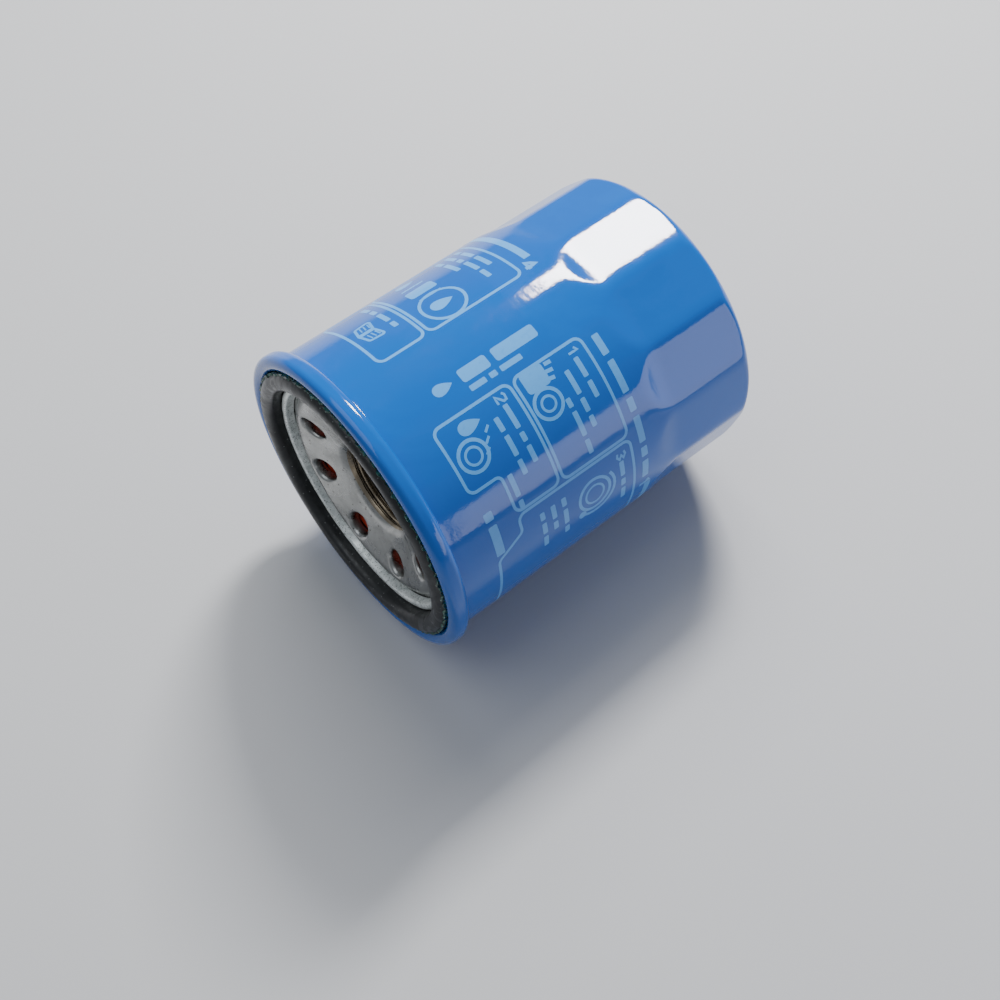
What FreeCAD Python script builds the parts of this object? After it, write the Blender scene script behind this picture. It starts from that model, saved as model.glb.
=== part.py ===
"""Spin-on engine oil filter, built as the loose pieces it is made of.

The filter lies on its side. X is its axis, from the engine to the closed end, and X = 0 is the
face of the sealing gasket. Z is up. Lengths are in millimetres and angles in degrees.
A profile is drawn in the half plane (x, r), r being the distance from the axis.
"""

import FreeCAD, Part
import math
import os

Vector = FreeCAD.Vector
ORIGIN = Vector(0, 0, 0)
AXIS = Vector(1, 0, 0)

# Can
overall_length = 84.9       # gasket face to the top of the closed end
can_radius = 32.7
can_wall = 0.6
end_corner_radius = 4.5
end_panel_rise = 1.2        # shallow raised panel of the closed end
end_panel_radius = 17.0
end_panel_ramp = 8.5
end_panel_blend = 8.0

# Wrench flats near the closed end
flat_count = 14
flat_depth = 0.9            # below the round wall
flat_start = 60.7           # where a flat has its full depth
flat_ramp = 6.0             # length over which it sinks from the round wall
flat_phase = 1.8            # turn of the bottom flat about the axis

# Rolled seam at the open end
seam_overhang = 1.9         # past the can's wall
seam_front = 0.85
seam_curl_radius = 1.65
seam_neck_rounding = 0.2
seam_land = 0.05            # flat left between the curl's bends
seam_side = 0.95            # straight part of the seam's outside

# Sheet lid: it closes the can and holds the gasket
lid_wall = 0.6
lid_flange_width = 2.25
lid_can_gap = 0.05
lid_flange_gap = 0.05
lid_flange_bend = 0.75
lid_floor_bend = 0.3
lid_lip_rise = 1.6          # from the groove's floor to the lip's crest
lid_lip_width = 1.55
lid_lip_bend = 0.75
lid_lip_inset = 0.4         # of the lip's inner edge from its crest
lid_lip_clearance = 0.2     # to the base plate

# Gasket in the lid's groove
gasket_groove_gap = 0.45    # to the groove's outer wall
gasket_width = 4.0
gasket_depth = 4.55
gasket_clearance = 0.15
gasket_face_rounding = 1.5
gasket_foot_rounding = 0.5

# Sealing compound between the gasket and the seam
compound_front = 1.7
compound_clearance = 0.02

# Threaded base plate
plate_wall = 2.8
plate_rim_inset = 0.75      # from the lid's outer wall
plate_step_inset = 0.6      # from the lid's opening
plate_step_bend = 0.6
plate_step_width = 1.7
plate_hump_rise = 1.8
plate_hump_bend = 3.2
plate_slope = 0.30          # rise of the cone per millimetre of radius
plate_mouth_bend = 3.6
collar_length = 13.3        # from the plate's rim to the collar's end
thread_major_radius = 10.0
thread_pitch = 1.5
thread_depth_share = 0.5412  # of the pitch, for a metric thread
inlet_count = 8
inlet_radius = 2.9
inlet_rim_margin = 1.6      # from the hump's edge
inlet_phase = 15.1

# Anti-drain valve
valve_fit = 0.1             # round the collar
valve_neck_wall = 1.8
valve_flap = 1.0
valve_flap_gap = 0.05       # lip to plate
valve_lip_margin = 0.35     # past the inlet holes
valve_root_gap = 0.7
valve_foot_radius = 16.8
valve_foot = 1.6

# Filter element
cap_wall = 0.4
cap_bend = 0.6
cap_oil_gap = 2.9           # to the can's wall
cap_skirt = 3.6
cap_neck = 2.8
cap_neck_radius = 13.0
element_gap = 0.2           # to the collar
tube_radius = 14.4
tube_wall = 0.5
tube_hole_radius = 2.2
tube_rows = 7
tube_holes_per_row = 8
potting_depth = 2.0
potting_clearance = 0.05
potting_rounding = 0.4
paper = 0.6
pleat_count = 48
pleat_fold_gap = 0.4        # between the two walls of a pleat
pleat_inner_radius = 14.7
pleat_cap_gap = 0.6
clip_wall = 0.3
clip_gap = 0.05
clip_reach = 4.0
clip_inset = 4.2            # of the paper's two free ends from the folds

# Bypass valve in the top end cap
bypass_hole_radius = 7.5
bypass_seal_land = 0.4      # from the hole's edge to the seal
bypass_seal_width = 2.6
bypass_seal_depth = 1.2
bypass_disc_wall = 0.8
bypass_travel = 3.5
cage_wall = 0.6
cage_bend = 1.6
cage_radius = 12.6
cage_depth = 14.0
cage_windows = 4
cage_window_width = 9.0
cage_window_margin = 3.0
stem_radius = 2.0
stem_fit = 0.1
stem_head_radius = 3.4
stem_head = 0.8
stem_tail = 2.4
retainer_radius = 4.0
retainer_wall = 0.8
retainer_gap = 0.3          # to the cage, with the valve shut
spring_radius = 5.4
spring_wire = 1.1
spring_turns = 5
spring_end_gap = 0.02

# Spring that holds the element against the base plate
leaf_wall = 0.6
leaf_count = 4
leaf_width = 8.0
leaf_ring_inner = 10.0
leaf_ring_outer = 16.0
leaf_height = 11.5          # from the top end cap to the can's closed end
leaf_crest_inset = 5.8      # from the can's wall
leaf_tip_reach = 1.7
leaf_tip_drop = 1.2
leaf_bend = 1.2
leaf_clearance = 0.15

# Sizes that follow from the ones above
flat_inradius = can_radius - flat_depth
end_shoulder = overall_length - end_panel_rise
seam_radius = can_radius + seam_overhang
seam_back = seam_front + 2 * seam_curl_radius + seam_side
seam_joint = seam_back + can_wall + seam_neck_rounding
seam_leg_radius = seam_radius - 2 * seam_curl_radius - seam_land
seam_leg_end = seam_front + seam_curl_radius + seam_land
lid_back = gasket_depth + lid_wall
lid_outer_radius = can_radius - can_wall - lid_can_gap - lid_wall
lid_flange = seam_leg_end + lid_flange_gap
gasket_outer_radius = lid_outer_radius - gasket_groove_gap
gasket_inner_radius = gasket_outer_radius - gasket_width
lid_inner_radius = gasket_inner_radius - gasket_clearance
lid_crest = gasket_depth - lid_lip_rise
lid_crest_radius = lid_inner_radius - lid_lip_width
lid_opening_radius = lid_crest_radius - lid_lip_inset
plate_step_radius = lid_opening_radius - plate_step_inset
plate_hump_radius = plate_step_radius - plate_step_width
inlet_circle_radius = plate_hump_radius - inlet_rim_margin - inlet_radius
thread_minor_radius = thread_major_radius - thread_depth_share * thread_pitch
collar_radius = thread_minor_radius + plate_wall
collar_end = lid_back + collar_length
hump_front = lid_back - plate_hump_rise
mouth_corner = hump_front + (plate_hump_radius - thread_minor_radius) * plate_slope
element_start = collar_end + element_gap
element_end = end_shoulder - can_wall - leaf_height
cap_radius = can_radius - can_wall - cap_oil_gap
cap_inner_start = element_start + cap_wall
cap_inner_end = element_end - cap_wall
media_start = cap_inner_start + potting_depth
media_end = cap_inner_end - potting_depth
pleat_outer_radius = cap_radius - cap_wall - pleat_cap_gap
clip_radius = pleat_outer_radius - clip_inset
seal_front = cap_inner_end - bypass_seal_depth
seal_inner_radius = bypass_hole_radius + bypass_seal_land
disc_radius = seal_inner_radius + bypass_seal_width
disc_front = seal_front - bypass_disc_wall
cage_front = cap_inner_end - cage_depth
cage_floor = cage_front + cage_wall


def bent_edges(corners):
    """Edges of a closed outline; each corner is (x, r, rounding radius)."""
    starts, arcs, ends = [], [], []
    count = len(corners)
    for i, corner in enumerate(corners):
        here = Vector(corner[0], corner[1], 0)
        before = Vector(*corners[i - 1][:2], 0)
        after = Vector(*corners[(i + 1) % count][:2], 0)
        to_before = (before - here).normalize()
        to_after = (after - here).normalize()
        opening = to_before.getAngle(to_after)
        radius = corner[2]
        if radius < 1e-6 or math.pi - opening < 1e-4:
            starts.append(here)
            ends.append(here)
            arcs.append(None)
            continue
        reach = radius / math.tan(opening / 2)
        first = here + to_before * reach
        last = here + to_after * reach
        bisector = (to_before + to_after).normalize()
        middle = here + bisector * (radius / math.sin(opening / 2) - radius)
        starts.append(first)
        ends.append(last)
        arcs.append(Part.Arc(first, middle, last).toShape())
    edges = []
    for i in range(count):
        if arcs[i]:
            edges.append(arcs[i])
        a, b = ends[i], starts[(i + 1) % count]
        if (b - a).Length > 1e-5:
            edges.append(Part.LineSegment(a, b).toShape())
    return edges


def face_of(corners):
    """Flat face in the (x, r) half plane."""
    return Part.Face(Part.Wire(Part.__sortEdges__(bent_edges(corners))))


def turned(corners):
    """Solid of revolution about the filter's axis."""
    return face_of(corners).revolve(ORIGIN, AXIS, 360)


def plain(*points):
    """Corners with no rounding."""
    return [(x, r, 0) for x, r in points]


def sheet_corners(path, wall, flip=False):
    """Outline of bent sheet: path is one face as (x, r, bend radius on that face), and the
    other face lies a wall's thickness to its left, or to its right when flip is set."""
    side = -1 if flip else 1
    points = [Vector(corner[0], corner[1], 0) for corner in path]
    runs = [(b - a).normalize() for a, b in zip(points, points[1:])]
    normals = [Vector(-run.y, run.x, 0) * side for run in runs]
    other = [(points[0] + normals[0] * wall, 0)]
    for i in range(1, len(path) - 1):
        miter = (normals[i - 1] + normals[i]).normalize()
        moved = points[i] + miter * (wall / miter.dot(normals[i]))
        turns_in = runs[i - 1].cross(runs[i]).z * side > 0
        bend = path[i][2] - wall if turns_in else path[i][2] + wall
        other.append((moved, max(bend, 0)))
    other.append((points[-1] + normals[-1] * wall, 0))
    return list(path) + [(point.x, point.y, bend) for point, bend in reversed(other)]


def sheet(path, wall, flip=False):
    """Turned piece of bent sheet."""
    return turned(sheet_corners(path, wall, flip))


def ring(inner, outer, start, end):
    """Plain ring about the filter's axis."""
    return turned(plain((start, inner), (end, inner), (end, outer), (start, outer)))


def around(shape, count, phase=0.0):
    """Copies of a shape, evenly spaced about the filter's axis."""
    copies = []
    for i in range(count):
        copy = shape.copy()
        copy.rotate(ORIGIN, AXIS, phase + 360 * i / count)
        copies.append(copy)
    return copies


def flattened(solid, inset):
    """Presses the wrench flats into a solid that lies inset from the can's outside."""
    top = can_radius - inset + 0.01
    bottom = flat_inradius - inset
    lift = 5
    outline = plain(
        (flat_start - flat_ramp * (1 + lift / (top - bottom)), top + lift),
        (flat_start, bottom),
        (overall_length + 1, bottom),
        (overall_length + 1, top + lift),
    )
    width = 2 * can_radius * math.tan(math.pi / flat_count)
    tool = face_of(outline).extrude(Vector(0, 0, width))
    tool.translate(Vector(0, 0, -width / 2))
    return solid.cut(around(tool, flat_count, 270 + flat_phase))


def can_solid(inset):
    """The can's outside, or its cavity when inset is the wall's thickness."""
    radius = can_radius - inset
    outline = [
        (seam_joint, 0, 0),
        (seam_joint, radius, 0),
        (end_shoulder - inset, radius, end_corner_radius - inset),
        (end_shoulder - inset, end_panel_radius + end_panel_ramp, end_panel_blend + inset),
        (overall_length - inset, end_panel_radius, end_panel_blend - inset),
        (overall_length - inset, 0, 0),
    ]
    return flattened(turned(outline), inset)


def can_shell():
    """Deep-drawn can, rolled over the lid at its open end."""
    curl = [
        (seam_leg_end, seam_leg_radius, 0),
        (seam_front, seam_leg_radius, seam_curl_radius),
        (seam_front, seam_radius, seam_curl_radius),
        (seam_back, seam_radius, seam_curl_radius),
        (seam_back, can_radius, seam_neck_rounding),
        (seam_joint, can_radius, 0),
    ]
    body = can_solid(0).cut(can_solid(can_wall))
    return body.fuse(sheet(curl, can_wall, flip=True)).removeSplitter()


def seaming_lid():
    """Sheet lid: a flange inside the seam, a groove for the gasket and a rolled lip."""
    path = [
        (lid_flange, lid_outer_radius + lid_flange_width, 0),
        (lid_flange, lid_outer_radius, lid_flange_bend),
        (gasket_depth, lid_outer_radius, lid_floor_bend),
        (gasket_depth, lid_inner_radius, lid_floor_bend),
        (lid_crest, lid_inner_radius, lid_lip_bend),
        (lid_crest, lid_crest_radius, lid_lip_bend),
        (lid_back - lid_lip_clearance, lid_opening_radius, 0),
    ]
    return sheet(path, lid_wall)


def sealing_gasket():
    """Rubber ring with rounded shoulders."""
    return turned(
        [
            (0, gasket_inner_radius, gasket_face_rounding),
            (gasket_depth, gasket_inner_radius, gasket_foot_rounding),
            (gasket_depth, gasket_outer_radius, gasket_foot_rounding),
            (0, gasket_outer_radius, gasket_face_rounding),
        ]
    )


def seam_compound():
    """Compound squeezed out of the seam, all round the gasket."""
    inner = gasket_outer_radius + compound_clearance
    behind_lid = lid_outer_radius - compound_clearance
    behind_seam = seam_leg_radius - compound_clearance
    back = gasket_depth - lid_floor_bend
    return turned(
        plain(
            (compound_front, inner),
            (back, inner),
            (back, behind_lid),
            (lid_flange, behind_lid),
            (seam_leg_end, behind_seam),
            (compound_front, behind_seam),
        )
    )


def base_plate():
    """Thick pressed plate: rim under the lid, raised ring with the inlet holes, threaded collar."""
    path = [
        (lid_back, lid_outer_radius - plate_rim_inset, 0),
        (lid_back, plate_step_radius, plate_step_bend),
        (hump_front, plate_hump_radius, plate_hump_bend),
        (mouth_corner, thread_minor_radius, plate_mouth_bend),
        (collar_end, thread_minor_radius, 0),
    ]
    hole = Part.makeCylinder(
        inlet_radius, collar_end, Vector(0, inlet_circle_radius, 0), AXIS
    )
    return sheet(path, plate_wall).cut(around(hole, inlet_count, inlet_phase))


def plate_back(radius):
    """Where the base plate's inner side lies, on its cone."""
    front = mouth_corner - (radius - thread_minor_radius) * plate_slope
    return front + plate_wall * math.hypot(1, plate_slope)


def anti_drain_valve():
    """Silicone neck round the collar, a flap over the inlet holes and a foot for the element."""
    neck = collar_radius + valve_fit
    neck_outer = neck + valve_neck_wall
    lip = inlet_circle_radius + inlet_radius + valve_lip_margin
    lip_front = plate_back(lip) + valve_flap_gap
    root = plate_back(neck_outer) + valve_root_gap
    foot_front = element_start - valve_foot
    return turned(
        [
            (root + valve_flap, neck, 0),
            (root, neck_outer, 0.4),
            (lip_front, lip, 0.2),
            (lip_front + valve_flap, lip, 0.2),
            (root + 1.6 * valve_flap, neck_outer, 0.8),
            (foot_front, neck_outer, 0.8),
            (foot_front, valve_foot_radius, 0.4),
            (element_start, valve_foot_radius, 0.3),
            (element_start, neck, 0),
        ]
    )


def bottom_end_cap():
    """Pressed cap with a neck that centres it in the tube."""
    path = [
        (element_start + cap_neck, cap_neck_radius, 0),
        (element_start, cap_neck_radius, cap_bend),
        (element_start, cap_radius, cap_bend),
        (element_start + cap_skirt, cap_radius, 0),
    ]
    return sheet(path, cap_wall, flip=True)


def top_end_cap():
    """Pressed cap with the bypass valve's hole, which is also its seat."""
    path = [
        (element_end - cap_skirt, cap_radius, 0),
        (element_end, cap_radius, cap_bend),
        (element_end, bypass_hole_radius, 0),
    ]
    return sheet(path, cap_wall, flip=True)


def potting(start):
    """Adhesive in an end cap, round the centre tube."""
    inner = tube_radius + potting_clearance
    outer = cap_radius - cap_wall - potting_clearance
    end = start + potting_depth
    return turned(
        [
            (start, inner, 0),
            (end, inner, 0),
            (end, outer, potting_rounding),
            (start, outer, potting_rounding),
        ]
    )


def centre_tube():
    """Perforated tube that the paper leans on."""
    tube = ring(tube_radius - tube_wall, tube_radius, cap_inner_start, cap_inner_end)
    step = (media_end - media_start) / tube_rows
    holes = []
    for row in range(tube_rows):
        x = media_start + (row + 0.5) * step
        punch = Part.makeCylinder(
            tube_hole_radius, tube_radius + 1, Vector(x, 0, 0), Vector(0, 1, 0)
        )
        stagger = 180 / tube_holes_per_row * (row % 2)
        holes += around(punch, tube_holes_per_row, stagger)
    return tube.cut(holes)


def across(radius, offset, angle):
    """Point in the plane square to the axis: out along a ray, then sideways by the offset."""
    y = radius * math.cos(angle) - offset * math.sin(angle)
    z = radius * math.sin(angle) + offset * math.cos(angle)
    return Vector(media_start, y, z)


def pleated_media():
    """Filter paper folded into a star. Its two free ends stand side by side at angle zero."""
    narrow = pleat_fold_gap / 2
    wide = narrow + paper
    pitch = 2 * math.pi / pleat_count
    outside = [across(clip_radius, wide, 0)]
    inside = [across(clip_radius, narrow, 0)]
    for i in range(pleat_count):
        valley = (i + 0.5) * pitch
        outside += [across(pleat_inner_radius + paper, side * narrow, valley) for side in (-1, 1)]
        inside += [across(pleat_inner_radius, side * wide, valley) for side in (-1, 1)]
        if i < pleat_count - 1:
            crest = (i + 1) * pitch
            outside += [across(pleat_outer_radius, side * wide, crest) for side in (-1, 1)]
            inside += [across(pleat_outer_radius - paper, side * narrow, crest) for side in (-1, 1)]
    outside.append(across(clip_radius, -wide, 0))
    inside.append(across(clip_radius, -narrow, 0))
    outline = outside + inside[::-1]
    face = Part.Face(Part.makePolygon(outline + outline[:1]))
    return face.extrude(AXIS * (media_end - media_start))


def seam_clip():
    """Folded strip that holds the paper's two free ends together."""
    inner = pleat_fold_gap / 2 + paper + clip_gap
    outer = inner + clip_wall
    tip = clip_radius + clip_gap
    foot = clip_radius - clip_reach
    outline = [
        Vector(media_start, foot, -outer),
        Vector(media_start, tip + clip_wall, -outer),
        Vector(media_start, tip + clip_wall, outer),
        Vector(media_start, foot, outer),
        Vector(media_start, foot, inner),
        Vector(media_start, tip, inner),
        Vector(media_start, tip, -inner),
        Vector(media_start, foot, -inner),
    ]
    face = Part.Face(Part.makePolygon(outline + outline[:1]))
    return face.extrude(AXIS * (media_end - media_start))


def bypass_cage():
    """Cup under the top end cap, with windows and a guide hole for the stem."""
    path = [
        (cap_inner_end, cage_radius, 0),
        (cage_front, cage_radius, cage_bend),
        (cage_front, stem_radius + stem_fit, 0),
    ]
    length = cage_depth - 2 * cage_window_margin
    window = Part.makeBox(length, cage_radius + 1, cage_window_width)
    window.translate(Vector(cage_front + cage_window_margin, 0, -cage_window_width / 2))
    return sheet(path, cage_wall).cut(around(window, cage_windows, 180 / cage_windows))


def bypass_disc():
    return ring(stem_radius, disc_radius, disc_front, seal_front)


def bypass_seal():
    return ring(seal_inner_radius, disc_radius, seal_front, cap_inner_end)


def bypass_stem():
    """Rivet through the disc, which slides in the cage's guide hole."""
    tail = cage_front - stem_tail - retainer_wall
    return turned(
        [
            (tail, 0, 0),
            (tail, stem_radius, 0.4),
            (seal_front, stem_radius, 0),
            (seal_front, stem_head_radius, 0),
            (seal_front + stem_head, stem_head_radius, 0.4),
            (seal_front + stem_head, 0, 0),
        ]
    )


def stem_retainer():
    """Washer pressed on the stem's tail."""
    back = cage_front - retainer_gap
    return ring(stem_radius, retainer_radius, back - retainer_wall, back)


def bypass_spring():
    """Coil spring between the cage's floor and the disc."""
    start = cage_floor + spring_wire / 2 + spring_end_gap
    length = disc_front - cage_floor - spring_wire - 2 * spring_end_gap
    coil = Part.makeHelix(length / spring_turns, length, spring_radius)
    coil.rotate(ORIGIN, Vector(0, 1, 0), 90)
    coil.translate(Vector(start, 0, 0))
    first = coil.Edges[0]
    begin = first.valueAt(first.FirstParameter)
    tangent = first.tangentAt(first.FirstParameter)
    section = Part.Wire(Part.makeCircle(spring_wire / 2, begin, tangent))
    return Part.Wire(coil.Edges).makePipeShell([section], True, True)


def hold_down_spring():
    """Leaf spring: a ring on the top end cap with arms that reach the can's closed end."""
    crest = end_shoulder - can_wall - leaf_clearance - 1.1 * leaf_wall
    crest_radius = can_radius - can_wall - leaf_crest_inset
    path = [
        (element_end, leaf_ring_outer - leaf_wall, 0),
        (element_end, leaf_ring_outer, leaf_bend),
        (crest, crest_radius, leaf_bend),
        (crest - leaf_tip_drop, crest_radius + leaf_tip_reach, 0),
    ]
    arm = face_of(sheet_corners(path, leaf_wall, flip=True)).extrude(Vector(0, 0, leaf_width))
    arm.translate(Vector(0, 0, -leaf_width / 2))
    plate = ring(leaf_ring_inner, leaf_ring_outer, element_end, element_end + leaf_wall)
    return plate.fuse(around(arm, leaf_count, 180 / leaf_count)).removeSplitter()


parts = {
    "can_shell": can_shell(),
    "seaming_lid": seaming_lid(),
    "sealing_gasket": sealing_gasket(),
    "seam_compound": seam_compound(),
    "base_plate": base_plate(),
    "anti_drain_valve": anti_drain_valve(),
    "bottom_end_cap": bottom_end_cap(),
    "top_end_cap": top_end_cap(),
    "bottom_potting": potting(cap_inner_start),
    "top_potting": potting(media_end),
    "centre_tube": centre_tube(),
    "pleated_media": pleated_media(),
    "media_seam_clip": seam_clip(),
    "bypass_cage": bypass_cage(),
    "bypass_disc": bypass_disc(),
    "bypass_seal": bypass_seal(),
    "bypass_stem": bypass_stem(),
    "stem_retainer": stem_retainer(),
    "bypass_spring": bypass_spring(),
    "hold_down_spring": hold_down_spring(),
}

os.makedirs("parts", exist_ok=True)
for name, shape in parts.items():
    solid = shape.Solids[0]
    solid.exportStep(f"parts/{name}.step")
    print(f"{name}: {len(shape.Solids)} solid, {solid.Volume:.1f} mm3, valid {solid.isValid()}")
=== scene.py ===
# %% [markdown]
# # A spin-on oil filter
# The filter lies on its side, so its axis is X, with the gasket's face at X = 0 and the closed
# end at high X. Everything is in metres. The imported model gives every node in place, and this
# script adds what a solid model leaves plain: the pressed shapes with soft bends, the print,
# the thread, and a finish for each metal, rubber and paper.

import math

import bmesh
import bpy
import numpy as np
from mathutils import Matrix, Vector


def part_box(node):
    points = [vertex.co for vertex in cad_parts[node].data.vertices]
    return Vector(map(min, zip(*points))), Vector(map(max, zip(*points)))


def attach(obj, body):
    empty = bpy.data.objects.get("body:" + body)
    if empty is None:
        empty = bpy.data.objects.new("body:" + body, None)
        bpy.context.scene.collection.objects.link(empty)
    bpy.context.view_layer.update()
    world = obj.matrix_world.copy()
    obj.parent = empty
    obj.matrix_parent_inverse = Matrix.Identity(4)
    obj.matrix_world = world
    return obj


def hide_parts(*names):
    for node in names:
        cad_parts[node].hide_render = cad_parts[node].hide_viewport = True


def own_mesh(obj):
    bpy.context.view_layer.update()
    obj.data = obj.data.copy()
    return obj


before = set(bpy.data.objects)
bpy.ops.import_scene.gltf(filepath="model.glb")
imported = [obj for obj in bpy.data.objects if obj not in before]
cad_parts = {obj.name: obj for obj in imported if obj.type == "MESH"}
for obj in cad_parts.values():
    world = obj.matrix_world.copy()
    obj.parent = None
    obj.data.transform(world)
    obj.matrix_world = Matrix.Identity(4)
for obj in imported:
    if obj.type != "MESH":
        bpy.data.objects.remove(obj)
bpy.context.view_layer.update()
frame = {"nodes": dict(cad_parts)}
MM = 0.001

# %% Sizes that the pieces share
CAN_RADIUS = 32.7 * MM
CAN_WALL = 0.6 * MM
SEAM_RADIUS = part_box("can_shell")[1].z
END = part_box("can_shell")[1].x
GASKET_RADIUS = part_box("sealing_gasket")[1].z
GASKET_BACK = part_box("sealing_gasket")[1].x
FLAT_COUNT = 14
FLAT_INRADIUS = 31.8 * MM
FLAT_PHASE = math.radians(270 + 1.8)

print("can", round(CAN_RADIUS / MM, 2), "seam", round(SEAM_RADIUS / MM, 2), "mm")

# %% [markdown]
# ## Camera, floor and light
# The camera looks down steeply at the open end, so its place is an azimuth, an elevation and
# a distance from the point it aims at. The floor is plain and pale. Gloss paint shows its
# lamps, so two of them have shapes that matter: a bright softbox high behind the can, which
# fills the top flat, and a dim panel low at its front, which lies along the side.

# %% Camera
AIM = Vector((29.6, -13.08, -10.29)) * MM
AZIMUTH, ELEVATION, DISTANCE = math.radians(-39.21), math.radians(58.37), 302.3 * MM


def towards(azimuth, elevation):
    """Unit vector from the object: azimuth 0 is the front, towards -Y, turning right-handed."""
    return Vector((
        math.sin(azimuth) * math.cos(elevation),
        -math.cos(azimuth) * math.cos(elevation),
        math.sin(elevation),
    ))


camera = bpy.data.objects.new("camera", bpy.data.cameras.new("camera"))
bpy.context.collection.objects.link(camera)
back = towards(AZIMUTH, ELEVATION)
camera.location = AIM + back * DISTANCE
camera.rotation_euler = (-back).to_track_quat("-Z", "Y").to_euler()
camera.data.lens, camera.data.sensor_width = 51.4, 36
camera.data.clip_start = 0.01
bpy.context.scene.camera = camera

# %% Floor and world
# The seam stands proud of the can, so the filter leans a little on the floor, towards its
# closed end. The filter's axis stays level here and the floor takes the slope.
LEAN = math.radians(1.8)
FLOOR_HALF = 3.0
floor_mesh = bpy.data.meshes.new("floor")
corner_signs = ((-1, -1), (1, -1), (1, 1), (-1, 1))
floor_mesh.from_pydata([(a * FLOOR_HALF, b * FLOOR_HALF, 0) for a, b in corner_signs],
                       [], [(0, 1, 2, 3)])
floor = bpy.data.objects.new("floor", floor_mesh)
bpy.context.collection.objects.link(floor)
floor.rotation_euler = (0, -LEAN, 0)
floor.location = (3 * MM, 0, -SEAM_RADIUS - 0.1 * MM)

floor_paint = bpy.data.materials.new("pale_floor")
floor_paint.use_nodes = True
floor_shader = floor_paint.node_tree.nodes["Principled BSDF"].inputs
floor_shader["Base Color"].default_value = (0.50, 0.51, 0.53, 1)
floor_shader["Roughness"].default_value = 0.8
floor_mesh.materials.append(floor_paint)

world = bpy.data.worlds.new("studio")
bpy.context.scene.world = world
world.use_nodes = True
sky = world.node_tree.nodes["Background"].inputs
sky["Color"].default_value = (0.62, 0.66, 0.72, 1)
sky["Strength"].default_value = 0.42

# %% Lamps
CAN_MIDDLE = Vector((40, 0, 0)) * MM


def softbox(name, direction, distance, size, power, colour):
    """Rectangular lamp that faces the middle of the can, its first side along the can."""
    lamp = bpy.data.lights.new(name, "AREA")
    lamp.shape = "RECTANGLE"
    lamp.size, lamp.size_y = size
    lamp.energy, lamp.color = power, colour
    holder = bpy.data.objects.new(name, lamp)
    bpy.context.collection.objects.link(holder)
    direction = Vector(direction).normalized()
    holder.location = CAN_MIDDLE + direction * distance
    up = direction.cross(Vector((1, 0, 0))).normalized()
    along = up.cross(direction)
    holder.rotation_euler = Matrix((along, up, direction)).transposed().to_euler()
    return holder


softbox("key", (0.54, 0.41, 0.74), 0.60, (0.16, 0.10), 5.6, (1.0, 0.98, 0.95))
fill = softbox("fill", (0.30, 0.50, 0.80), 1.30, (0.7, 0.7), 11.0, (1.0, 0.98, 0.95))
fill.visible_glossy = False
softbox("side_panel", (0.45, -0.88, 0.14), 0.34, (0.20, 0.105), 0.22, (0.80, 0.78, 1.0))
softbox("overhead", (-0.45, 0.25, 0.86), 0.90, (0.7, 0.7), 2.2, (0.90, 0.95, 1.0))

# %% [markdown]
# ## Helpers for surfaces
# Nearly every piece here is pressed or moulded round an axis, so one helper turns a profile
# into a mesh. The profile is a closed outline in (x, r) with rounded corners. The grid is
# worked out as whole arrays, and a shape function may push the radius in or out, which makes
# the wrench flats and the lid's faint unevenness.

# %% Profiles and turned pieces
SHARP_ANGLE = math.radians(55)
RING_COLUMNS = 288


def rounded(corners, steps):
    """Open or closed outline with its corners rounded: each corner is (x, r, radius), and its
    arc is swept from one tangent point to the other about the arc's centre."""
    corners = np.array(corners, float)
    count, out = len(corners), []
    for i, (x, r, radius) in enumerate(corners):
        here = np.array([x, r])
        before, after = corners[i - 1][:2] - here, corners[(i + 1) % count][:2] - here
        before, after = before / np.linalg.norm(before), after / np.linalg.norm(after)
        opening = math.acos(np.clip(before @ after, -1, 1))
        if radius == 0 or opening > math.pi - 1e-3:
            out.append(here[None])
            continue
        reach = radius / math.tan(opening / 2)
        middle = (before + after) / np.linalg.norm(before + after)
        centre = here + middle * radius / math.sin(opening / 2)
        first, last = here + before * reach - centre, here + after * reach - centre
        share = np.linspace(0, 1, steps)[:, None]
        angle = math.pi - opening
        sweep = np.sin((1 - share) * angle) * first + np.sin(share * angle) * last
        out.append(centre + sweep / math.sin(angle))
    return np.concatenate(out)


def refined(outline, spacing, closed=True):
    """The outline with points added so that none of its runs is longer than the spacing."""
    ends = np.roll(outline, -1, axis=0) if closed else outline[1:]
    starts = outline if closed else outline[:-1]
    cuts = np.maximum(1, np.ceil(np.linalg.norm(ends - starts, axis=1) / spacing)).astype(int)
    index = np.repeat(np.arange(len(starts)), cuts)
    step = np.arange(len(index)) - np.repeat(np.cumsum(cuts) - cuts, cuts)
    share = (step / cuts[index])[:, None]
    points = starts[index] * (1 - share) + ends[index] * share
    return points if closed else np.vstack([points, outline[-1]])


def grid_faces(rows, columns, wrap_rows=False, start=0):
    """Quads between neighbours on a grid whose columns close on themselves."""
    row = np.arange(rows if wrap_rows else rows - 1)[:, None]
    column = np.arange(columns)[None]
    next_row, next_column = (row + 1) % rows, (column + 1) % columns
    corners = np.stack([
        row * columns + column,
        row * columns + next_column,
        next_row * columns + next_column,
        next_row * columns + column,
    ], axis=-1)
    return corners.reshape(-1, 4) + start


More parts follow.
